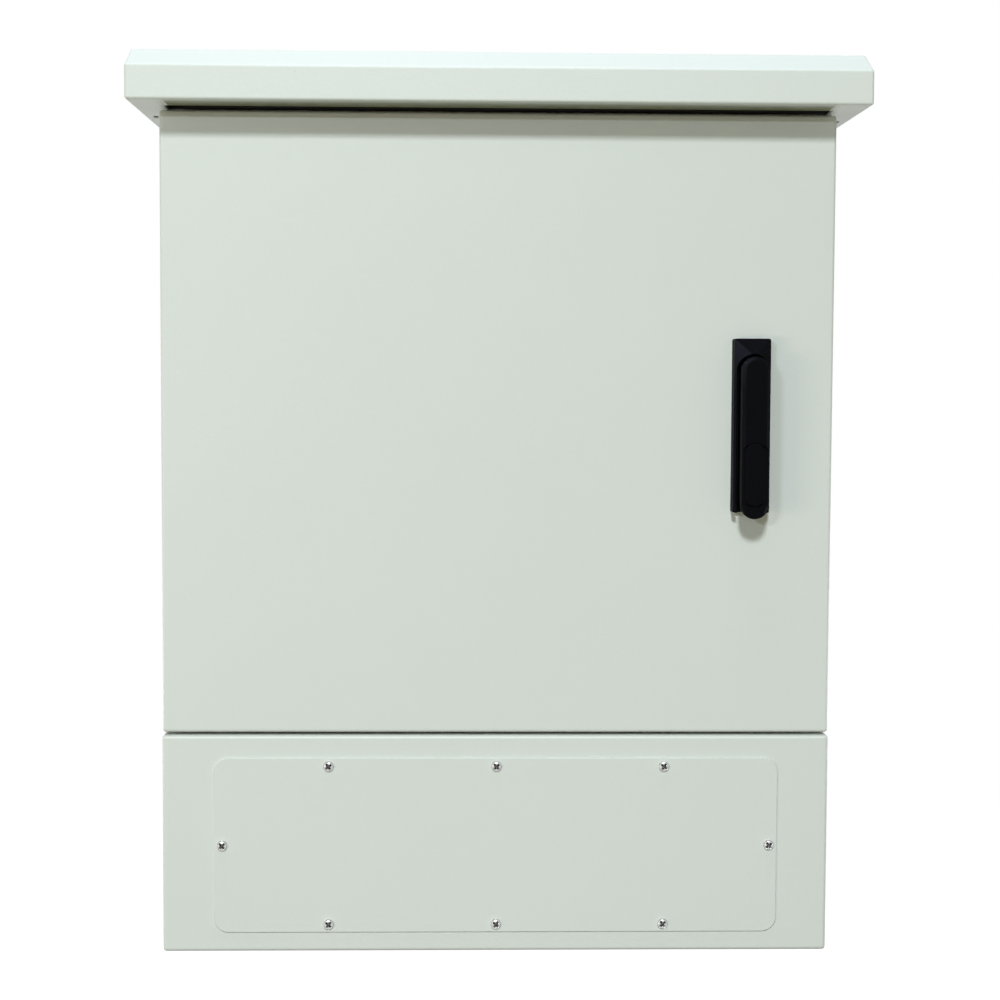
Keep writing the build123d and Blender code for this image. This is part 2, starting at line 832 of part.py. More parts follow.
def door_stiffener(side):
    section = hat_profile(
        side * stiffener_x,
        door_inner_y,
        stiffener_width,
        stiffener_height,
        stiffener_foot,
        door_sheet,
    )
    return slab(section, door_bottom_z + stiffener_end_margin, door_top_z - stiffener_end_margin)


def lever_outline(grow):
    """Obround of the lever, grown all round."""
    outline = SlotOverall(lever_length + 2 * grow, lever_width + 2 * grow, rotation=90)
    return Pos(0, (lever_top_rise + lever_bottom) / 2, 0) * outline


def handle_base():
    body = slab(Rectangle(base_width, base_height), base_back, base_shoulder)
    body = fillet(body.edges().filter_by(Axis.Z), base_edge_radius)
    foot = Rectangle(base_width, base_height)
    ridge = Rectangle(base_width - 2 * base_bevel_run, base_height - 2 * base_bevel_run)
    hip = loft([Pos(0, 0, base_shoulder) * foot, Pos(0, 0, base_ridge) * ridge], ruled=True)
    body += hip & slab(RectangleRounded(base_width, base_height, base_edge_radius), 0, base_ridge)
    moat = lever_outline(groove_width) - lever_outline(-island_inset)
    body -= slab(moat, groove_floor, lever_front)
    spindle = Pos(0, spindle_rise, 0)
    body += spindle * rod_along(boss_radius, -boss_reach, collar_seat - collar_float)
    body -= spindle * rod_along(collar_radius + collar_gap, collar_seat - collar_float, lever_front)
    body -= spindle * rod_along(shaft_radius + shaft_clearance, -boss_reach - cut_past, lever_front)
    post = Pos(0, -post_drop, 0)
    body += post * rod_along(post_radius, -door_sheet, base_shoulder)
    body -= post * rod_along(m5_nut_bore_radius, -door_sheet - cut_past, post_screw_depth)
    return handle_plane * body


def handle_seal():
    outline = Rectangle(base_width - 2 * handle_seal_inset, base_height - 2 * handle_seal_inset)
    outline -= Pos(0, spindle_rise, 0) * Circle(boss_radius + door_hole_gap)
    outline -= Pos(0, -post_drop, 0) * Circle(post_radius + door_hole_gap)
    return handle_plane * slab(outline, 0, handle_seal_thickness)


def lift_place():
    """Cross axis of the lever's lift, local z along the cabinet's X."""
    return Pos(0, spindle_rise, lift_depth) * Plane.YZ.location


def lever_fork_cut():
    """Room for the spindle's tongue, from stowed to lifted."""
    reach = tongue_radius + fork_clearance
    neck = Pos(0, -lever_thickness, 0) * Rectangle(2 * reach, 2 * lever_thickness)
    room = Circle(reach) + neck + Rot(0, 0, lever_lift_angle) * neck
    width = tongue_thickness / 2 + fork_clearance
    return lift_place() * extrude(room, width, both=True)


def dust_cover_step():
    """Sunk face that the dust cover lies on and swings over."""
    reach = dust_cover_radius + dust_cover_gap
    swing = Vector(reach, 0).rotate(Axis.Z, dust_cover_swing)
    run = Vector(0, -lever_width).rotate(Axis.Z, dust_cover_swing)
    outer = swing + run
    low = -2 * dust_cover_length
    wedge = Polyline(
        (swing.X, swing.Y),
        (outer.X, outer.Y),
        (outer.X, low),
        (-outer.X, low),
        (-outer.X, outer.Y),
        (-swing.X, swing.Y),
        close=True,
    )
    face = make_face(wedge) + Circle(reach)
    face = face & Circle(dust_cover_length + dust_cover_gap)
    return slab(Pos(0, dust_cover_rise, 0) * face, step_floor, lever_front + cut_past)


def lever_side_view():
    """Side of the lever: its end is rounded under the lift axis, its tip has a bevelled grip."""
    half = lever_thickness / 2
    outline = Polyline(
        (spindle_rise, lever_back),
        (lever_bottom + lever_grip_run, lever_back),
        (lever_bottom, lever_back + lever_grip_depth),
        (lever_bottom, lever_front),
        (lever_top_rise, lever_front),
        (lever_top_rise, lift_depth),
        (spindle_rise, lift_depth),
        close=True,
    )
    face = make_face(outline) + Pos(spindle_rise, lift_depth, 0) * Circle(half)
    return extrude(Plane.YZ * face, lever_width, both=True)


def handle_lever():
    lever = slab(lever_outline(0), lever_back, lever_front)
    lever = chamfer(lever.faces().sort_by(Axis.Z)[-1].edges(), lever_edge_chamfer)
    lever = lever & lever_side_view()
    lever -= dust_cover_step()
    lever -= lever_fork_cut()
    bore = lever_pin_radius + lever_pin_clearance
    lever -= lift_place() * extrude(Circle(bore), lever_pin_length / 2, both=True)
    stub = rod_along(stub_radius + plug_clearance, step_floor - stub_length, step_floor + cut_past)
    lever -= Pos(0, dust_cover_rise, 0) * stub
    plug = rod_along(plug_radius + plug_clearance, lever_back - cut_past, step_floor + cut_past)
    pocket = rod_along(tail_pocket_radius, lever_back - cut_past, lever_back + tail_thickness + tail_end_gap)
    lever -= Pos(0, plug_rise, 0) * (plug + pocket)
    return handle_plane * lever


def lever_pin():
    pin = extrude(Circle(lever_pin_radius), lever_pin_length / 2, both=True)
    return handle_plane * (lift_place() * pin)


def handle_spindle():
    spindle = rod_along(collar_radius, collar_seat, collar_top)
    spindle += rod_along(shaft_radius, cam_front, collar_top)
    spindle += slab(Rectangle(square_size, square_size), cam_back + square_clearance, cam_front)
    bolt_room = cam_bolt_radius + cam_bolt_hole_gap
    spindle -= rod_along(bolt_room, cam_back - cut_past, cam_back + cam_bolt_reach)
    neck_length = lift_depth - collar_seat
    neck = Pos(0, -neck_length / 2, 0) * Rectangle(2 * tongue_radius, neck_length)
    tongue = Circle(tongue_radius) + neck
    tongue -= Circle(lever_pin_radius + lever_pin_clearance)
    tongue = lift_place() * extrude(tongue, tongue_thickness / 2, both=True)
    return handle_plane * (Pos(0, spindle_rise, 0) * spindle + tongue)


def dust_cover():
    overall = dust_cover_length + dust_cover_radius
    outline = SlotOverall(overall, 2 * dust_cover_radius, rotation=90)
    outline = Pos(0, dust_cover_radius - overall / 2, 0) * outline
    cover = slab(outline, lever_front - dust_cover_thickness, lever_front)
    cover = chamfer(cover.faces().sort_by(Axis.Z)[-1].edges(), dust_cover_edge_chamfer)
    stub_end = step_floor - stub_length + plug_end_gap
    cover += rod_along(stub_radius, stub_end, lever_front - dust_cover_thickness)
    return handle_plane * (Pos(0, dust_cover_rise, 0) * cover)


def key_plug():
    face = step_floor - plug_end_gap
    plug = rod_along(plug_radius, lever_back + tail_thickness, face)
    slot = Rectangle(key_slot_width, key_slot_length)
    plug -= slab(slot, face - key_slot_depth, face + cut_past)
    tail_length = 2 * (tail_pocket_radius - tail_end_gap)
    tail = Rectangle(tail_width, tail_length) & Circle(tail_pocket_radius - tail_end_gap)
    plug += slab(tail, lever_back, lever_back + tail_thickness)
    return handle_plane * (Pos(0, plug_rise, 0) * plug)


def lock_bracket():
    middle = (spindle_rise - post_drop) / 2
    outline = Pos(0, middle, 0) * RectangleRounded(
        lock_bracket_width, lock_bracket_height, lock_bracket_radius
    )
    outline -= Pos(0, spindle_rise, 0) * Circle(boss_radius + door_hole_gap)
    outline -= Pos(0, -post_drop, 0) * Circle(m5_hole_radius)
    return handle_plane * slab(outline, bracket_inner, -door_sheet)


def lock_nut():
    nut = hex_nut(boss_nut_flats, boss_nut_height, boss_radius + boss_nut_gap)
    return handle_plane * (Pos(0, spindle_rise, bracket_inner - boss_nut_height) * nut)


def lock_screw():
    screw = Rot(180, 0, 0) * pan_screw(lock_bracket_thickness + post_screw_depth - m5_end)
    return handle_plane * (Pos(0, -post_drop, bracket_inner) * screw)


def rod_cam():
    """Cam plate with its side tongue and the two crank pins of the rods."""
    jamb = side_x - channel_width
    tongue_length = jamb + cam_tongue_lap - handle_x
    tongue = Pos(0, tongue_length / 2, 0) * Rectangle(cam_tongue_width, tongue_length)
    tongue_end = Pos(0, tongue_length - cam_tongue_width / 2, 0) * Circle(cam_tongue_width / 2)
    trimmed = tongue & Pos(0, -cam_tongue_width / 2, 0) * tongue
    plate = Circle(cam_radius) + trimmed + tongue_end
    hole = square_size + 2 * square_clearance
    cam = slab(plate - Rectangle(hole, hole), cam_back, cam_front)
    pin = rod_along(crank_pin_radius, rod_back - crank_pin_end, cam_back)
    for side in (-1, 1):
        cam += Pos(side * crank_drop, side * crank_drop, 0) * pin
    return handle_plane * (Pos(0, spindle_rise, 0) * cam)


def cam_bolt():
    bolt = rod_along(cam_bolt_head_radius, cam_back - cam_bolt_head_height, cam_back)
    bolt += rod_along(cam_bolt_radius, cam_back, cam_back + cam_bolt_reach - cam_bolt_hole_gap)
    return handle_plane * (Pos(0, spindle_rise, 0) * bolt)


def rod(x, foot_z, tip_z, slot_z):
    """Flat locking rod with a bevelled tip and a cross slot for its crank pin."""
    half = rod_width / 2
    point = half - rod_tip_chamfer
    shoulder_z = tip_z - rod_tip_chamfer if tip_z > foot_z else tip_z + rod_tip_chamfer
    outline = Polyline(
        (-half, foot_z), (half, foot_z), (half, shoulder_z), (point, tip_z), (-point, tip_z),
        (-half, shoulder_z), close=True,
    )
    face = make_face(outline) - Pos(0, slot_z, 0) * Rectangle(rod_slot_length, rod_slot_height)
    return front_place(x, front_y, 0) * slab(face, rod_back, rod_front)


def rod_upper():
    slot_z = spindle_z - crank_drop
    tip_z = lip_top_z - body_sheet - rod_rest_gap
    return rod(handle_x - crank_reach, slot_z - rod_foot, tip_z, slot_z)


def rod_lower():
    slot_z = spindle_z + crank_drop
    tip_z = lip_bottom_z + body_sheet + rod_rest_gap
    return rod(handle_x + crank_reach, slot_z + rod_foot, tip_z, slot_z)


def rod_guide(side):
    """Angle on the door's skin with a slotted shelf; the side tells which rod it leads."""
    x = handle_x - side * crank_reach
    level = lip_top_z - rod_guide_offset if side > 0 else lip_bottom_z + rod_guide_offset
    end_y = front_y - rod_back + rod_guide_end
    path = [
        (door_inner_y, level + rod_guide_foot),
        (door_inner_y, level),
        (end_y, level),
    ]
    if side < 0:
        path = [(end_y, level), (door_inner_y, level), (door_inner_y, level - rod_guide_foot)]
    section = folded_profile(path, rod_guide_sheet)
    guide = Pos(x, 0, 0) * extrude(Plane.YZ * section, rod_guide_width / 2, both=True)
    room = Rectangle(
        rod_width + 2 * rod_guide_clearance, rod_thickness + 2 * rod_guide_clearance
    )
    room = slab(room, level - rod_guide_sheet - cut_past, level + rod_guide_sheet + cut_past)
    return guide - Pos(x, rod_middle_y, 0) * room


lower_hinge_z, upper_hinge_z = hinge_levels
nodes = {
    "plinth": plinth(),
    "plinth_cover": plinth_cover(),
    "plinth_cover_screws": plinth_cover_screws(),
    "plinth_cover_nuts": plinth_cover_nuts(),
    "plinth_bolts": plinth_bolts(),
    "plinth_nuts": plinth_nuts(),
    "side_panel_right": side_panel(),
    "side_panel_left": hinge_side_panel(),
    "back_panel": back_panel(),
    "top_plate": top_plate(),
    "floor_pan": floor_pan(),
    "gland_plate": gland_plate(),
    "gland_screws": gland_screws(),
    "cable_grommets": cable_grommets(),
    "roof": roof(),
    "roof_rail_left": roof_rail(-1),
    "roof_rail_right": roof_rail(1),
    "roof_bolts": roof_bolts(),
    "roof_nuts": roof_nuts(),
    "mounting_plate": mounting_plate(),
    "plate_studs": plate_studs(),
    "plate_spacers": plate_spacers(),
    "plate_nuts": plate_nuts(),
    "hinge_body_upper": hinge_body(upper_hinge_z),
    "hinge_body_lower": hinge_body(lower_hinge_z),
    "hinge_pin_upper": hinge_pin(upper_hinge_z),
    "hinge_pin_lower": hinge_pin(lower_hinge_z),
    "hinge_screws": hinge_screws(),
    "door": door(),
    "door_gasket": door_gasket(),
    "door_stiffener_left": door_stiffener(-1),
    "door_stiffener_right": door_stiffener(1),
    "hinge_door_upper": hinge_door(upper_hinge_z),
    "hinge_door_lower": hinge_door(lower_hinge_z),
    "handle_base": handle_base(),
    "handle_seal": handle_seal(),
    "lock_bracket": lock_bracket(),
    "lock_nut": lock_nut(),
    "lock_screw": lock_screw(),
    "rod_guide_upper": rod_guide(1),
    "rod_guide_lower": rod_guide(-1),
    "handle_spindle": handle_spindle(),
    "rod_cam": rod_cam(),
    "cam_bolt": cam_bolt(),
    "handle_lever": handle_lever(),
    "lever_pin": lever_pin(),
    "dust_cover": dust_cover(),
    "key_plug": key_plug(),
    "rod_upper": rod_upper(),
    "rod_lower": rod_lower(),
}
for name, shape in nodes.items():
    export_step(shape, f"parts/{name}.step")
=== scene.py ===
"""Looks of the street cabinet: finishes, fasteners, seals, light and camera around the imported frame."""
import json
from math import cos, pi, radians, sin, sqrt, tan

import bmesh
import bpy
from mathutils import Matrix, Vector

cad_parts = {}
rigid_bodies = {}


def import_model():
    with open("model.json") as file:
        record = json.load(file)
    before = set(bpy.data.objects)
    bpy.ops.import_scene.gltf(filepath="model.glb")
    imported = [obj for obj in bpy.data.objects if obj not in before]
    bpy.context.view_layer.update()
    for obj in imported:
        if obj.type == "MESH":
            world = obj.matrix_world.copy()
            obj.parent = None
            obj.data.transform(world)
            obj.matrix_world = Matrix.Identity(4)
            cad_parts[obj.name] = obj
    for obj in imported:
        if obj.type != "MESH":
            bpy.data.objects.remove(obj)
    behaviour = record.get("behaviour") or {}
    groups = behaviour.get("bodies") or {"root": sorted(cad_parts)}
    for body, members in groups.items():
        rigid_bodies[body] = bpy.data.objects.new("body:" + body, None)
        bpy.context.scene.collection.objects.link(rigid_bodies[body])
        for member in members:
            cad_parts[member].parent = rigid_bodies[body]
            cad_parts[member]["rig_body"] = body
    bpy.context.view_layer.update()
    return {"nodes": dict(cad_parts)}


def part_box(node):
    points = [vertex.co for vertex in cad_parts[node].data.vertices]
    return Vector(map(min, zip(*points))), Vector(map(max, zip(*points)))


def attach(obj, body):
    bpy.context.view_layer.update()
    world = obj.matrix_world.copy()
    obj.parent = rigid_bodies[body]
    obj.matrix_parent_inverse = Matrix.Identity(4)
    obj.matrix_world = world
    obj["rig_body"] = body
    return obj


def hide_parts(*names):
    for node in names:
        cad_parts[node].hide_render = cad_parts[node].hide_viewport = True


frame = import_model()

# Directions in the cabinet's frame
OUT_OF_FRONT = Vector((0, -1, 0))
OUT_OF_BACK = Vector((0, 1, 0))
UP = Vector((0, 0, 1))
DOWN = Vector((0, 0, -1))

# Pan-head screws, in metres
SCREW_HEAD_HEIGHT = 0.0034
SCREW_HEAD_RADIUS = 0.0050
SCREW_HEAD_EDGE = 0.0019
SCREW_SHANK_RADIUS = 0.0024
SCREW_PITCH = 0.0008
SCREW_THREAD_DEPTH = 0.00042
SCREW_POINT = 0.0007
SCREW_CROWN = 0.00025
SCREW_RIM = 0.0002
SCREW_TURN = radians(45)
SCREW_TURN_SPREAD = radians(9)
SCREW_TURN_STEP = 2.4
RECESS_REACH = 0.0038
RECESS_WIDTH = 0.0020
RECESS_DEPTH = 0.0026
RECESS_WALL = 0.00022
RECESS_FLARE = 0.35
RECESS_RAMP_SHARE = 0.55

# Hexagon bolts, nuts and welded studs, in metres
BOLT_FLATS = 0.013
BOLT_HEAD_HEIGHT = 0.0053
BOLT_RADIUS = 0.0040
BOLT_PITCH = 0.00125
BOLT_THREAD_DEPTH = 0.00065
BOLT_POINT = 0.0010
BOLT_FACE_SHARE = 0.42
BOLT_DISH_SHARE = 0.38
BOLT_DISH = 0.0002
NUT_BORE = 0.0041
WELD_NUT_FLATS = 0.008
WELD_NUT_BORE = 0.0025
LOCK_NUT_FLATS = 0.027
LOCK_NUT_BORE = 0.0101
HEX_CHAMFER_ANGLE = radians(30)
HEX_CROWN_SHARE = 0.475
BORE_CHAMFER = 0.0004

# Door gasket and grommets, in metres and shares
GASKET_WIDTH = 0.014
GASKET_CORNER = 0.010
GASKET_SHOULDER_SHARE = 0.45
GASKET_CROWN_POWER = 0.8
GASKET_NIP = 0.985
GROMMET_GROOVE = 0.0177
GROMMET_FLANGE = 0.0035
GROMMET_SKIN = 0.0012
GROMMET_PLATE = 0.0020
GROMMET_BEAD = 0.0008
GROMMET_RINGS = 4
GROMMET_FIRST_RING = 0.92
GROMMET_RING_STEP = 0.22

# Black foam strip between the body's front and the roof, which stands in for the shade in the gap over
# the door, in metres
FOAM_SETBACK = 0.006
FOAM_DEPTH = 0.008
FOAM_HEIGHT = 0.016
FOAM_END_INSET = 0.002
FOAM_LIFT = 0.0016
FOAM_ROUND = 0.0025

# Painted shade under the roof's front edge, in metres
EAVE_SHADE_DEPTH = 0.041
EAVE_SHADE_HALF_WIDTH = 0.3135
EAVE_SHADE_FOOT = 0.80
EAVE_SHADE_END_SHARE = 1.1

# Faces count as turned down or outwards past these parts of their normal
TURNED_DOWN = -0.6
TURNED_OUT = -0.25

# Mesh steps
TURN_STEPS = 48
HEAD_STEPS = 72
HEAD_RINGS = 44
THREAD_STEPS = 6
GASKET_CROWN_STEPS = 14
GASKET_CORNER_STEPS = 10
FOAM_CORNER_STEPS = 6
FOAM_HALF_STEPS = 40
SHARP_ANGLE = radians(32)

# Floor, in metres
FLOOR_HALF = 14.0
FLOOR_SHADOW_REACH = 2.0

# Camera, fitted to the photograph: focal length and frame in its pixels
PHOTO_WIDTH_PX = 1000
FOCAL_PX = 1913.9
SENSOR_MM = 36.0
CAMERA_PLACE = Vector((-0.0463, -2.0465, 0.5596))
CAMERA_TURN = radians(-1.504)
CAMERA_TILT = radians(90 - 3.603)
CAMERA_ROLL = radians(0.271)


# Finishes

class Value:
    """One output of a finish's nodes; arithmetic on it adds Math nodes."""

    def __init__(self, finish, socket):
        self.finish = finish
        self.socket = socket

    def math(self, operation, *terms):
        return self.finish.node("ShaderNodeMath", {"operation": operation}, dict(enumerate(terms)))

    def __add__(self, other):
        return self.math("ADD", self, other)

    def __radd__(self, other):
        return self.math("ADD", other, self)

    def __sub__(self, other):
        return self.math("SUBTRACT", self, other)

    def __rsub__(self, other):
        return self.math("SUBTRACT", other, self)

    def __mul__(self, other):
        return self.math("MULTIPLY", self, other)

    def __rmul__(self, other):
        return self.math("MULTIPLY", other, self)

    def __lt__(self, other):
        return self.math("LESS_THAN", self, other)

    def __gt__(self, other):
        return self.math("GREATER_THAN", self, other)

    def __abs__(self):
        return self.math("ABSOLUTE", self)

    def __or__(self, other):
        return self.math("MAXIMUM", self, other)


class Finish:
    """A material whose nodes are added one call at a time."""

    def __init__(self, name):
        self.material = bpy.data.materials.new(name)
        self.material.use_nodes = True
        self.tree = self.material.node_tree
        self.tree.nodes.clear()

    def node(self, kind, settings=None, inputs=None, output=0):
        """Adds a node: its settings first, then the values or links of its sockets."""
        node = self.tree.nodes.new(kind)
        for key, value in (settings or {}).items():
            if key == "stops":
                self.set_stops(node.color_ramp, value)
            else:
                setattr(node, key, value)
        for key, value in (inputs or {}).items():
            if isinstance(value, Value):
                self.tree.links.new(value.socket, node.inputs[key])
            else:
                node.inputs[key].default_value = value
        return Value(self, node.outputs[output]) if len(node.outputs) else node

    @staticmethod
    def set_stops(ramp, stops):
        while len(ramp.elements) < len(stops):
            ramp.elements.new(1)
        for element, (place, level) in zip(ramp.elements, stops):
            element.position = place
            element.color = (level, level, level, 1)

    def place(self):
        return self.node("ShaderNodeTexCoord", output="Object")

    def facing(self):
        return self.node("ShaderNodeTexCoord", output="Normal")

    def along(self, vector, axis):
        return self.node("ShaderNodeSeparateXYZ", inputs={0: vector}, output=axis)

    def noise(self, place, scale, detail=2.0, roughness=0.5):
        inputs = {"Vector": place, "Scale": scale, "Detail": detail, "Roughness": roughness}
        return self.node("ShaderNodeTexNoise", inputs=inputs)

    def cells(self, place, scale, output="Distance", feature="F1"):
        inputs = {"Vector": place, "Scale": scale}
        return self.node("ShaderNodeTexVoronoi", {"feature": feature}, inputs, output)

    def one_channel(self, colour, channel="Red"):
        return self.node("ShaderNodeSeparateColor", inputs={"Color": colour}, output=channel)

    def stretched(self, place, stretch):
        inputs = {0: place, 1: stretch}
        return self.node("ShaderNodeVectorMath", {"operation": "MULTIPLY"}, inputs)

    def ramp(self, value, *stops):
        return self.node("ShaderNodeValToRGB", {"stops": stops}, {"Fac": value})

    def mix(self, share, first, second):
        inputs = {0: share, 6: first, 7: second}
        return self.node("ShaderNodeMix", {"data_type": "RGBA"}, inputs, 2)

    def bump(self, height, depth, strength=1.0, below=None):
        inputs = {"Height": height, "Distance": depth, "Strength": strength}
        if below is not None:
            inputs["Normal"] = below
        return self.node("ShaderNodeBump", inputs=inputs)

    def softened_edges(self, radius):
        return self.node("ShaderNodeBevel", {"samples": 6}, {"Radius": radius})

    def open_sky(self, reach):
        """1 on a free face, towards 0 in a hollow narrower than the reach."""
        settings = {"samples": 8, "only_local": True}
        openness = self.node("ShaderNodeAmbientOcclusion", settings, {"Distance": reach}, "AO")
        return self.ramp(openness, (0.52, 0), (0.93, 1))

    def coat(self, **sockets):
        """Surface of the finish; a socket's name is its label with underscores."""
        inputs = {key.replace("_", " "): value for key, value in sockets.items()}
        self.close(self.node("ShaderNodeBsdfPrincipled", inputs=inputs))
        return self.material

    def close(self, surface):
        self.node("ShaderNodeOutputMaterial", inputs={"Surface": surface})


def paint(red, green, blue):
    """Linear colour of an sRGB paint shade given in 0 to 255."""
    shades = [channel / 255 for channel in (red, green, blue)]
    levels = [s / 12.92 if s <= 0.04045 else ((s + 0.055) / 1.055) ** 2.4 for s in shades]
    return (*levels, 1)


def eave_painted_shade(finish, place):
    """Share of painted shade on the underside of the roof's front edge, darkest by the door."""
    under = (finish.along(finish.facing(), "Z") < TURNED_DOWN) * (finish.along(place, "Z") > EAVE_SHADE_FOOT)
    between = abs(finish.along(place, "X")) < EAVE_SHADE_HALF_WIDTH
    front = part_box("roof")[0].y
    inwards = (finish.along(place, "Y") - front) * (1 / EAVE_SHADE_DEPTH)
    shade_unevenness = 0.80 + 0.4 * finish.noise(place, 70, 3)
    shade_strength = finish.ramp(inwards, (0.10, 0.12), (0.42, 0.75), (0.80, 1))
    on_soffit = under * between * (inwards < EAVE_SHADE_END_SHARE)
    return on_soffit * shade_strength * shade_unevenness


def grey_powder_coat():
    """Pale grey powder coat: orange peel, faint clouding, a few dark specks and painted shade under the
    roof's front edge.
    """
    finish = Finish("grey_powder_coat")
    place = finish.place()
    clouding = finish.noise(place, 2.6, 3)
    grain = finish.noise(place, 1100, 1)
    colour = finish.mix(clouding, paint(209, 212, 207), paint(215, 218, 213))
    colour = finish.mix(0.16 * grain, colour, paint(188, 193, 184))
    # Olive painted shade on the underside of the roof's front edge, darker towards the door
    colour = finish.mix(eave_painted_shade(finish, place), colour, paint(101, 104, 70))
    chosen = finish.one_channel(finish.cells(place, 42, "Color")) > 0.965
    speck = (finish.cells(place, 42) < 0.016) * chosen
    colour = finish.mix(0.75 * speck, colour, paint(82, 82, 74))
    peel = finish.noise(place, 520, 2, 0.45) + 0.9 * finish.noise(place, 190, 1)
    relief = finish.bump(peel, 0.00016, 0.55, finish.softened_edges(0.0004))
    roughness = 0.37 + 0.10 * finish.noise(place, 260, 2)
    return finish.coat(
        Base_Color=colour, Roughness=roughness, Normal=relief, Specular_IOR_Level=0.5
    )


def handle_painted_highlight(finish, place):
    """Share of painted highlight on the handle's bevels that face up and to the left, towards the light,
    most at its top.
    """
    low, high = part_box("handle_base")
    facing = finish.facing()
    lit_facing = 0.2 * finish.along(facing, "Z") - 0.6 * finish.along(facing, "X")
    outwards = finish.along(facing, "Y") < TURNED_OUT
    rise = (finish.along(place, "Z") - low.z) * (1 / (high.z - low.z))
    bevels = outwards * finish.ramp(lit_facing, (0.10, 0), (0.42, 1))
    return bevels * finish.ramp(rise, (0.70, 0.2), (0.96, 1))


def black_handle():
    """Satin black coat with a fine grain, with painted highlight on the bevels that face the light."""
    finish = Finish("black_handle")
    place = finish.place()
    haze = finish.noise(place, 45, 4)
    streaks = finish.noise(finish.stretched(place, (1, 1, 0.12)), 900, 3)
    scuff = finish.ramp(streaks, (0.60, 0), (0.72, 1))
    colour = finish.mix(haze, paint(7, 7, 9), paint(11, 11, 15))
    colour = finish.mix(0.08 * scuff, colour, paint(34, 34, 38))
    # Painted highlight: lilac grey on the bevels that face up and to the left, most at the top
    colour = finish.mix(0.7 * handle_painted_highlight(finish, place), colour, paint(40, 38, 50))
    texture = finish.noise(place, 2600, 2, 0.6) + 0.6 * finish.cells(place, 1900)
    relief = finish.bump(texture, 0.00008, 0.5, finish.softened_edges(0.0009))
    roughness = 0.46 + 0.12 * haze + 0.06 * scuff
    return finish.coat(
        Base_Color=colour, Roughness=roughness, Normal=relief, Specular_IOR_Level=0.02
    )


def stainless_screw():
    """Bright stainless steel with fine turning marks, and painted shade in the hollows, darkest under
    their upper lips.
    """
    finish = Finish("stainless_screw")
    place = finish.place()
    stain = finish.noise(place, 320, 3)
    marks = finish.noise(finish.stretched(place, (1, 0.25, 1)), 5200, 2)
    colour = finish.mix(stain, paint(176, 175, 172), paint(204, 204, 202))
    # Painted shade in the recess: near black in the hollows, most on faces that do not face up
    shaded_side = finish.ramp(finish.along(finish.facing(), "Z"), (0.30, 1), (0.70, 0.25))
    painted_recess_shade = shaded_side * (1 - finish.open_sky(0.0036))
    colour = finish.mix(painted_recess_shade, colour, paint(6, 6, 9))
    relief = finish.bump(marks, 0.00002, 0.5, finish.softened_edges(0.00015))
    roughness = 0.20 + 0.14 * marks + 0.08 * stain
    return finish.coat(Base_Color=colour, Metallic=1.0, Roughness=roughness, Normal=relief)


def zinc_plated_steel():
    """Zinc plate with a blue passivation that turns straw-coloured in patches."""
    finish = Finish("zinc_plated_steel")
    place = finish.place()
    patch = finish.ramp(finish.noise(place, 38, 4), (0.38, 0), (0.68, 1))
    pits = finish.noise(place, 1500, 3)
    colour = finish.mix(patch, paint(184, 189, 196), paint(198, 194, 178))
    colour = finish.mix(0.25 * pits, colour, paint(150, 152, 156))
    relief = finish.bump(pits, 0.00004, 0.45, finish.softened_edges(0.0003))
    roughness = 0.30 + 0.12 * patch + 0.10 * pits
    return finish.coat(Base_Color=colour, Metallic=1.0, Roughness=roughness, Normal=relief)


def galvanised_plate():
    """Hot-dip galvanised sheet with a small frosted spangle."""
    finish = Finish("galvanised_plate")
    place = finish.place()
    crooked = finish.noise(place, 160, 2) * 0.012
    bent = finish.node("ShaderNodeVectorMath", {"operation": "ADD"}, {0: place, 1: crooked})
    spangle = finish.one_channel(finish.cells(bent, 115, "Color"))
    seams = finish.cells(bent, 115, "Distance", "DISTANCE_TO_EDGE")
    veins = finish.ramp(seams, (0, 1), (0.05, 0))
    frost = finish.noise(place, 900, 3)
    colour = finish.mix(spangle, paint(166, 170, 174), paint(206, 209, 211))
    colour = finish.mix(0.22 * veins, colour, paint(146, 150, 154))
    relief = finish.bump(frost + 0.5 * spangle, 0.00004, 0.4, finish.softened_edges(0.0004))
    roughness = 0.34 + 0.20 * spangle + 0.08 * frost
    return finish.coat(Base_Color=colour, Metallic=0.92, Roughness=roughness, Normal=relief)


def black_rubber():
    """Matt black rubber with a dusty bloom."""
    finish = Finish("black_rubber")
    place = finish.place()
    bloom = finish.noise(place, 60, 4)
    pores = finish.noise(place, 2200, 2)
    colour = finish.mix(bloom, paint(20, 20, 21), paint(40, 40, 40))
    relief = finish.bump(pores, 0.00006, 0.5)
    roughness = 0.70 + 0.18 * bloom
    return finish.coat(Base_Color=colour, Roughness=roughness, Normal=relief)


finishes = {
    make.__name__: make()
    for make in (
        grey_powder_coat, black_handle, stainless_screw,
        zinc_plated_steel, galvanised_plate, black_rubber,
    )
}


# Pieces made here in place of plain solids

def solid_boxes(node):
    """Lowest and highest corner of each separate solid of a CAD node."""
    loose = bmesh.new()
    loose.from_mesh(frame["nodes"][node].data)
    bmesh.ops.remove_doubles(loose, verts=loose.verts, dist=1e-6)
    unseen = set(loose.verts)
    boxes = []
    while unseen:
        front = [unseen.pop()]
        solid = []
        while front:
            vertex = front.pop()
            solid.append(vertex.co.copy())
            beside = [edge.other_vert(vertex) for edge in vertex.link_edges]
            fresh = [other for other in beside if other in unseen]
            unseen.difference_update(fresh)
            front += fresh
        low = Vector([min(co[axis] for co in solid) for axis in range(3)])
        high = Vector([max(co[axis] for co in solid) for axis in range(3)])
        boxes.append((low, high))
    loose.free()
    return sorted(boxes, key=lambda box: tuple(box[0]))


def axis_ends(box, out):
    """Where the axis of a solid leaves its box: behind, and out."""
    low, high = box
    middle = (low + high) / 2
    half = abs((high - low).dot(out)) / 2
    return middle - half * out, middle + half * out


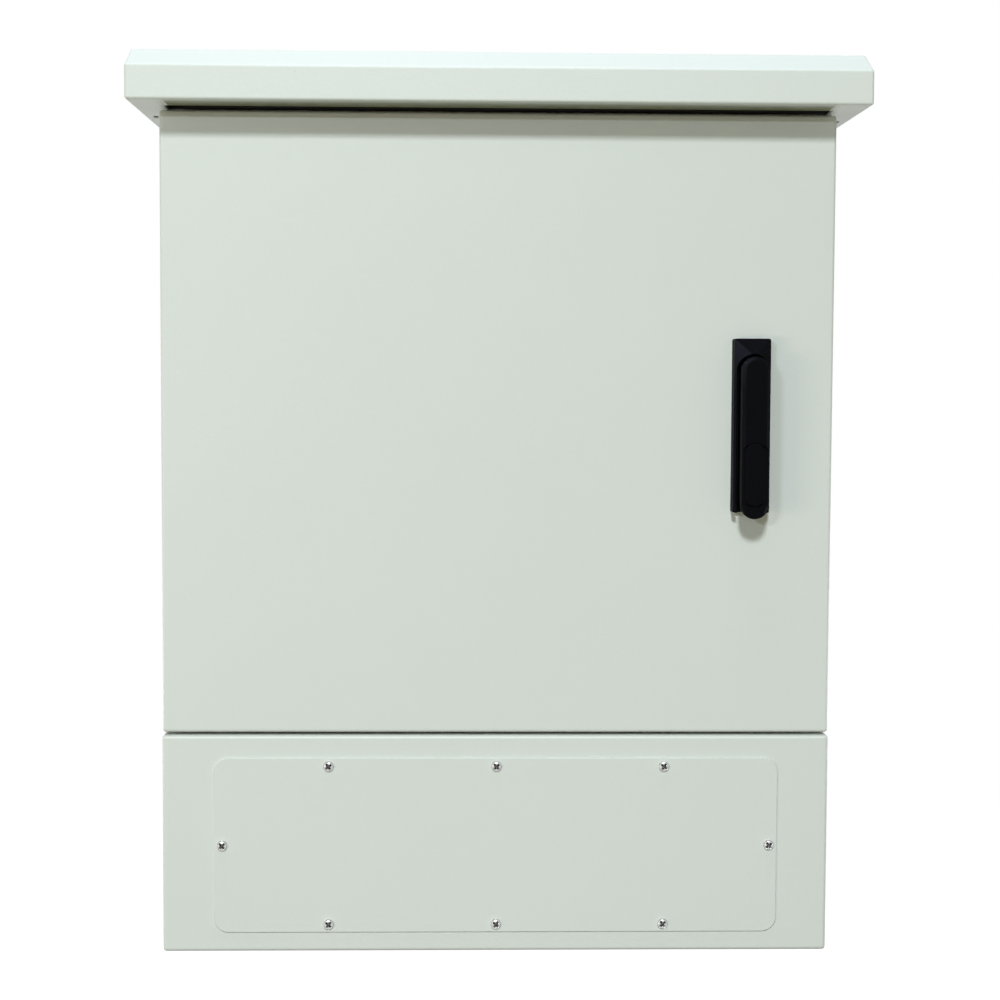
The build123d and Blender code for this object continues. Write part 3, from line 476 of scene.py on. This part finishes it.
def seat(origin, out):
    """Place whose local z points out and whose local x runs along the cabinet's width."""
    across = Vector((1, 0, 0))
    turn = Matrix((across, out.cross(across), out)).transposed().to_4x4()
    return Matrix.Translation(origin) @ turn


def circle(radius, height, steps=TURN_STEPS):
    turns = [2 * pi * step / steps for step in range(steps)]
    return [Vector((radius * cos(turn), radius * sin(turn), height)) for turn in turns]


def skin(mesh, rows, place, closed=False):
    """Skins rows of points that run round the local z, with end caps unless the rows close."""
    rings = [[mesh.verts.new(place @ point) for point in row] for row in rows]
    pairs = list(zip(rings, rings[1:]))
    if closed:
        pairs.append((rings[-1], rings[0]))
    for low, high in pairs:
        for here in range(len(low)):
            there = (here + 1) % len(low)
            mesh.faces.new((low[here], low[there], high[there], high[here]))
    if not closed:
        mesh.faces.new(rings[0][::-1])
        mesh.faces.new(rings[-1])


def threaded_rows(radius, depth, pitch, start, end, point, steps=TURN_STEPS):
    """Rows of a screw thread from its bevelled point at start up to end."""
    count = int((end - start) / pitch * THREAD_STEPS)
    rows = [circle(radius - depth - point / 2, start, steps)]
    for index in range(count + 1):
        height = start + (end - start) * index / count
        row = []
        for step in range(steps):
            turn = step / steps
            flank = abs(2 * ((height / pitch - turn) % 1) - 1)
            run_in = min(1, max(0, (height - start) / point))
            crest = radius - depth * (1 - flank)
            level = crest * run_in + (radius - depth - point / 3) * (1 - run_in)
            row.append(Vector((level * cos(2 * pi * turn), level * sin(2 * pi * turn), height)))
        rows.append(row)
    return rows


def head_height(reach):
    """Top of a pan head at a distance from its axis."""
    flat = SCREW_HEAD_RADIUS - SCREW_HEAD_EDGE
    shoulder = SCREW_HEAD_HEIGHT - SCREW_CROWN
    if reach <= flat:
        return shoulder + SCREW_CROWN * (1 - (reach / flat) ** 2)
    out = min(1, (reach - flat) / SCREW_HEAD_EDGE)
    return shoulder - SCREW_HEAD_EDGE * (1 - sqrt(1 - out * out))


def recess_drop(x, y):
    """Depth of the cross recess below the head at a point."""
    along, aside = max(abs(x), abs(y)), min(abs(x), abs(y))
    half = RECESS_WIDTH / 2 + RECESS_FLARE * max(0, RECESS_WIDTH - along)
    wall = min(1, max(0, (half - aside) / RECESS_WALL))
    ramp_length = RECESS_RAMP_SHARE * RECESS_REACH
    floor = RECESS_DEPTH * min(1, max(0, (RECESS_REACH - along) / ramp_length))
    return floor * wall


def pan_screw(mesh, origin, out, length, turn):
    """One pan-head screw with its seat at the origin, its recess left at a turn."""
    place = seat(origin, out) @ Matrix.Rotation(turn, 4, "Z")
    rows = threaded_rows(
        SCREW_SHANK_RADIUS, SCREW_THREAD_DEPTH, SCREW_PITCH, -length, 0, SCREW_POINT, HEAD_STEPS
    )
    rows.append(circle(SCREW_HEAD_RADIUS - SCREW_RIM, 0, HEAD_STEPS))
    rows.append(circle(SCREW_HEAD_RADIUS, SCREW_RIM, HEAD_STEPS))
    reaches = [SCREW_HEAD_RADIUS * (1 - index / HEAD_RINGS) for index in range(HEAD_RINGS)]
    for reach in reaches:
        row = []
        for point in circle(reach, 0, HEAD_STEPS):
            point.z = head_height(reach) - recess_drop(point.x, point.y)
            row.append(point)
        rows.append(row)
    skin(mesh, rows, place)


def hexagon_row(flats, height_at):
    """Row round a hexagon with its corners on the local x; the height follows the reach."""
    row = []
    for step in range(TURN_STEPS):
        turn = 2 * pi * step / TURN_STEPS
        from_flat = (turn % (pi / 3)) - pi / 6
        reach = flats / 2 / cos(from_flat)
        row.append(Vector((reach * cos(turn), reach * sin(turn), height_at(reach))))
    return row


def hex_sides(flats, low, high):
    """Rows of a hexagon's sides with a turned chamfer at both ends."""
    crown = flats * HEX_CROWN_SHARE
    fall = tan(HEX_CHAMFER_ANGLE)
    return [
        circle(crown, low),
        hexagon_row(flats, lambda reach: low + (reach - crown) * fall),
        hexagon_row(flats, lambda reach: high - (reach - crown) * fall),
        circle(crown, high),
    ]


def hex_bolt(mesh, origin, out, length):
    """One hexagon bolt with its head's seat at the origin."""
    rows = threaded_rows(BOLT_RADIUS, BOLT_THREAD_DEPTH, BOLT_PITCH, -length, 0, BOLT_POINT)
    rows += hex_sides(BOLT_FLATS, 0, BOLT_HEAD_HEIGHT)
    rows.append(circle(BOLT_FLATS * BOLT_FACE_SHARE, BOLT_HEAD_HEIGHT))
    rows.append(circle(BOLT_FLATS * BOLT_DISH_SHARE, BOLT_HEAD_HEIGHT - BOLT_DISH))
    skin(mesh, rows, seat(origin, out))


def hex_nut(mesh, origin, out, height, flats, bore):
    """One hexagon nut that stands on the origin."""
    rows = [circle(bore, BORE_CHAMFER), circle(bore + BORE_CHAMFER, 0)]
    rows += hex_sides(flats, 0, height)
    rows += [circle(bore + BORE_CHAMFER, height), circle(bore, height - BORE_CHAMFER)]
    skin(mesh, rows, seat(origin, out), closed=True)


def stud(mesh, origin, out, length):
    """One welded threaded stud that stands on the origin."""
    rows = threaded_rows(BOLT_RADIUS, BOLT_THREAD_DEPTH, BOLT_PITCH, -length, 0, BOLT_POINT)
    skin(mesh, rows, seat(origin, -out))


def grommet(mesh, origin, out, length):
    """One blind rubber grommet: beaded flanges, a groove for the plate and a ringed skin."""
    groove, flange = GROMMET_GROOVE, GROMMET_GROOVE + GROMMET_FLANGE
    throat = GROMMET_GROOVE - GROMMET_FLANGE
    lower = (length - GROMMET_PLATE) / 2
    upper = lower + GROMMET_PLATE
    bead = GROMMET_BEAD
    section = [
        (bead, length - GROMMET_SKIN), (throat - bead, length - GROMMET_SKIN),
        (throat, length - GROMMET_SKIN - bead), (throat, bead), (throat + bead, 0),
        (flange - bead, 0), (flange - 0.3 * bead, 0.3 * bead), (flange, bead),
        (flange, lower - bead / 2), (flange - bead / 2, lower), (groove, lower),
        (groove, upper), (flange - bead / 2, upper), (flange, upper + bead / 2),
        (flange, length - bead), (flange - 0.3 * bead, length - 0.3 * bead), (flange - bead, length),
    ]
    for ring in range(GROMMET_RINGS):
        reach = throat * (GROMMET_FIRST_RING - GROMMET_RING_STEP * ring)
        section += [
            (reach + 1.6 * bead, length), (reach + bead, length - bead / 2), (reach, length - bead / 2),
        ]
    section += [(1.6 * bead, length - bead / 2), (bead, length)]
    skin(mesh, [circle(reach, height) for reach, height in section], seat(origin, out))


def gasket_section(height):
    """Points of the gasket's crowned section: offset outwards and rise from the door's skin."""
    half = GASKET_WIDTH / 2
    shoulder = GASKET_SHOULDER_SHARE * height
    points = [(-half, 0), (-half, shoulder / 2)]
    for step in range(GASKET_CROWN_STEPS + 1):
        turn = pi * step / GASKET_CROWN_STEPS
        swell = sin(turn) ** GASKET_CROWN_POWER
        points.append((-half * cos(turn) * GASKET_NIP, shoulder + (height - shoulder) * swell))
    points += [(half, shoulder / 2), (half, 0)]
    return points


def gasket_route(half_width, half_height):
    """Middle line of the gasket seen from the front, with its outward direction."""
    route = []
    for quarter in range(4):
        centre_x = (half_width - GASKET_CORNER) * (1 if quarter in (0, 3) else -1)
        centre_z = (half_height - GASKET_CORNER) * (1 if quarter in (0, 1) else -1)
        for step in range(GASKET_CORNER_STEPS + 1):
            turn = pi / 2 * (quarter + step / GASKET_CORNER_STEPS)
            outward = Vector((cos(turn), 0, sin(turn)))
            route.append((Vector((centre_x, 0, centre_z)) + GASKET_CORNER * outward, outward))
    return route


def door_seal(mesh, box):
    """The door's gasket as one moulded ring on the inside of its skin."""
    low, high = box
    middle = (low + high) / 2
    height = high.y - low.y
    half_width = (high.x - low.x - GASKET_WIDTH) / 2
    half_height = (high.z - low.z - GASKET_WIDTH) / 2
    section = gasket_section(height)
    rows = []
    for point, outward in gasket_route(half_width, half_height):
        base = Vector((middle.x, low.y, middle.z)) + point
        rows.append([base + offset * outward + rise * OUT_OF_BACK for offset, rise in section])
    skin(mesh, rows, Matrix.Identity(4), closed=True)


def shade_foam_strip(mesh):
    """Black foam in the gap between the body's front and the roof, over the door; a dark piece that
    stands in for the shade in the gap.
    """
    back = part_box("door")[1].y + FOAM_SETBACK
    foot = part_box("roof")[0].z + FOAM_LIFT
    half_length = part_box("plinth")[1].x - FOAM_END_INSET
    section = []
    for quarter in range(4):
        centre_y = back - (FOAM_ROUND if quarter in (0, 3) else FOAM_DEPTH - FOAM_ROUND)
        centre_z = foot + (FOAM_HEIGHT - FOAM_ROUND if quarter in (0, 1) else FOAM_ROUND)
        for step in range(FOAM_CORNER_STEPS + 1):
            turn = pi / 2 * (quarter + step / FOAM_CORNER_STEPS)
            section.append((centre_y + FOAM_ROUND * cos(turn), centre_z + FOAM_ROUND * sin(turn)))
    lengths = [half_length * (step / FOAM_HALF_STEPS - 1) for step in range(2 * FOAM_HALF_STEPS + 1)]
    rows = [[Vector((x, y, z)) for y, z in section] for x in lengths]
    skin(mesh, rows, Matrix.Identity(4))


def piece_of(mesh, name, body, slot):
    """Turns a finished mesh into a piece that rides on a body."""
    bmesh.ops.recalc_face_normals(mesh, faces=mesh.faces)
    data = bpy.data.meshes.new(name)
    mesh.to_mesh(data)
    mesh.free()
    data.shade_smooth()
    data.set_sharp_from_angle(angle=SHARP_ANGLE)
    data.materials.append(finishes[slot])
    piece = bpy.data.objects.new(name, data)
    bpy.context.scene.collection.objects.link(piece)
    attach(piece, body)
    return piece


def in_place_of(node, mesh, name):
    """Turns a finished mesh into a piece that stands for a CAD node on the same body."""
    solid = frame["nodes"][node]
    piece = piece_of(mesh, name, solid["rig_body"], solid.material_slots[0].material.name)
    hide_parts(node)


def screws_for(node, out):
    mesh = bmesh.new()
    for index, box in enumerate(solid_boxes(node)):
        tip, top = axis_ends(box, out)
        length = (top - tip).length - SCREW_HEAD_HEIGHT
        turn = SCREW_TURN + SCREW_TURN_SPREAD * sin(SCREW_TURN_STEP * index)
        pan_screw(mesh, top - SCREW_HEAD_HEIGHT * out, out, length, turn)
    in_place_of(node, mesh, node + "_turned")


def bolts_for(node, out):
    mesh = bmesh.new()
    for box in solid_boxes(node):
        tip, top = axis_ends(box, out)
        hex_bolt(mesh, top - BOLT_HEAD_HEIGHT * out, out, (top - tip).length - BOLT_HEAD_HEIGHT)
    in_place_of(node, mesh, node + "_turned")


def nuts_for(node, out, flats, bore):
    mesh = bmesh.new()
    for box in solid_boxes(node):
        foot, top = axis_ends(box, out)
        hex_nut(mesh, foot, out, (top - foot).length, flats, bore)
    in_place_of(node, mesh, node + "_turned")


def row_of(node, out, make, name):
    mesh = bmesh.new()
    for box in solid_boxes(node):
        foot, top = axis_ends(box, out)
        make(mesh, foot, out, (top - foot).length)
    in_place_of(node, mesh, name)


screws_for("plinth_cover_screws", OUT_OF_FRONT)
screws_for("hinge_screws", OUT_OF_FRONT)
screws_for("gland_screws", UP)
screws_for("lock_screw", OUT_OF_BACK)
bolts_for("plinth_bolts", UP)
bolts_for("roof_bolts", DOWN)
nuts_for("plinth_nuts", UP, BOLT_FLATS, NUT_BORE)
nuts_for("roof_nuts", UP, BOLT_FLATS, NUT_BORE)
nuts_for("plate_nuts", OUT_OF_FRONT, BOLT_FLATS, NUT_BORE)
nuts_for("plinth_cover_nuts", OUT_OF_FRONT, WELD_NUT_FLATS, WELD_NUT_BORE)
nuts_for("lock_nut", OUT_OF_BACK, LOCK_NUT_FLATS, LOCK_NUT_BORE)
row_of("plate_studs", OUT_OF_FRONT, stud, "plate_studs_threaded")
row_of("cable_grommets", UP, grommet, "cable_grommets_moulded")
gasket = bmesh.new()
door_seal(gasket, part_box("door_gasket"))
in_place_of("door_gasket", gasket, "door_gasket_moulded")
# Black foam strip put in the gap over the door as painted shade
foam = bmesh.new()
shade_foam_strip(foam)
piece_of(foam, "roof_shade_foam", frame["nodes"]["roof"]["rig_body"], "black_rubber")

for solid in frame["nodes"].values():
    for slot in solid.material_slots:
        slot.material = finishes[slot.material.name]


# Floor, light and camera

def pale_floor():
    """White to the camera and to reflections, pale to everything else; it keeps the shadow."""
    finish = Finish("pale_floor")
    place = finish.place()
    grain = finish.noise(place, 240, 2)
    colour = finish.mix(grain, paint(120, 117, 98), paint(126, 123, 104))
    ground = finish.node("ShaderNodeBsdfDiffuse", inputs={"Color": colour})
    shaded = finish.node("ShaderNodeBsdfDiffuse", inputs={"Color": paint(150, 150, 150)})
    glow = finish.node("ShaderNodeEmission", inputs={"Strength": 0.84})
    near = finish.node("ShaderNodeAddShader", inputs={0: shaded, 1: glow})
    white = finish.node("ShaderNodeEmission", inputs={"Strength": 1.0})
    reach = finish.node("ShaderNodeVectorMath", {"operation": "LENGTH"}, {0: place}, "Value")
    fade = finish.ramp((1 / FLOOR_SHADOW_REACH) * reach, (0.24, 0), (0.46, 1))
    seen = finish.node("ShaderNodeMixShader", inputs={0: fade, 1: near, 2: white})
    inputs = {0: seen_directly(finish), 1: ground, 2: seen}
    finish.close(finish.node("ShaderNodeMixShader", inputs=inputs))
    return finish.material


def seen_directly(finish):
    """1 for what the camera, a mirror or a pane sees, 0 for light that falls on a surface."""
    camera, mirror, pane = [
        finish.node("ShaderNodeLightPath", output=ray)
        for ray in ("Is Camera Ray", "Is Glossy Ray", "Is Transmission Ray")
    ]
    return camera | mirror | pane


def lay_floor():
    data = bpy.data.meshes.new("floor")
    signs = ((-1, -1), (1, -1), (1, 1), (-1, 1))
    corners = [(FLOOR_HALF * x, FLOOR_HALF * y, 0) for x, y in signs]
    data.from_pydata(corners, [], [(0, 1, 2, 3)])
    data.materials.append(pale_floor())
    floor = bpy.data.objects.new("floor", data)
    bpy.context.scene.collection.objects.link(floor)


class Surround(Finish):
    """The world's nodes, added as a finish's are."""

    def __init__(self, world):
        world.use_nodes = True
        self.tree = world.node_tree
        self.tree.nodes.clear()


def surround_light():
    """Even white surround: white to the camera, dimmer as light."""
    world = bpy.data.worlds.new("surround")
    bpy.context.scene.world = world
    sky = Surround(world)
    shade_tint = (1.0, 0.97, 0.70, 1)
    light = sky.node("ShaderNodeBackground", inputs={"Color": shade_tint, "Strength": 0.17})
    white = sky.node("ShaderNodeBackground", inputs={"Color": (1, 1, 1, 1), "Strength": 1.0})
    both = sky.node("ShaderNodeMixShader", inputs={0: seen_directly(sky), 1: light, 2: white})
    sky.node("ShaderNodeOutputWorld", inputs={"Surface": both})


def soft_lamp(name, place, target, width, height, watts, tint):
    data = bpy.data.lights.new(name, "AREA")
    data.shape = "RECTANGLE"
    data.size = width
    data.size_y = height
    data.energy = watts
    data.color = tint
    lamp = bpy.data.objects.new(name, data)
    lamp.location = place
    lamp.rotation_euler = (Vector(target) - Vector(place)).to_track_quat("-Z", "Y").to_euler()
    bpy.context.scene.collection.objects.link(lamp)


def light_cabinet():
    """A near and a far panel in front, whose shadows of the roof end at two heights, and fills."""
    door_low, door_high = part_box("door")
    middle = (door_low + door_high) / 2
    soft_lamp(
        "near_panel", place=(-0.24, -4.85, 3.13), target=(-0.24, -4.85, 0),
        width=0.48, height=1.20, watts=366.0, tint=(0.89, 0.965, 1.0),
    )
    soft_lamp(
        "far_panel", place=(-3.0, -7.2, 2.02), target=middle,
        width=0.9, height=0.16, watts=104.0, tint=(0.82, 0.92, 1.0),
    )
    soft_lamp(
        "left_panel", place=(-2.6, -2.9, 0.2), target=middle,
        width=1.2, height=0.5, watts=22.5, tint=(1.0, 0.93, 0.74),
    )
    soft_lamp(
        "overhead", place=(-0.15, -0.2, 2.4), target=(0, 0, 0.8),
        width=1.2, height=0.9, watts=20.5, tint=(0.77, 0.90, 1.0),
    )
    for side in (-1, 1):
        soft_lamp(
            "eave_fill", place=(1.15 * side, 0.15, 0.15), target=(0.34 * side, 0, 0.75),
            width=0.5, height=0.3, watts=3.7, tint=(0.94, 0.975, 1.0),
        )


def place_camera():
    data = bpy.data.cameras.new("camera")
    data.sensor_fit = "HORIZONTAL"
    data.sensor_width = SENSOR_MM
    data.lens = FOCAL_PX / PHOTO_WIDTH_PX * SENSOR_MM
    camera = bpy.data.objects.new("camera", data)
    turn = Matrix.Rotation(CAMERA_TURN, 4, "Z")
    tilt = Matrix.Rotation(CAMERA_TILT, 4, "X")
    roll = Matrix.Rotation(CAMERA_ROLL, 4, "Z")
    camera.matrix_world = Matrix.Translation(CAMERA_PLACE) @ turn @ tilt @ roll
    bpy.context.scene.collection.objects.link(camera)
    bpy.context.scene.camera = camera


lay_floor()
surround_light()
light_cabinet()
place_camera()
bpy.context.scene.view_settings.view_transform = "Standard"
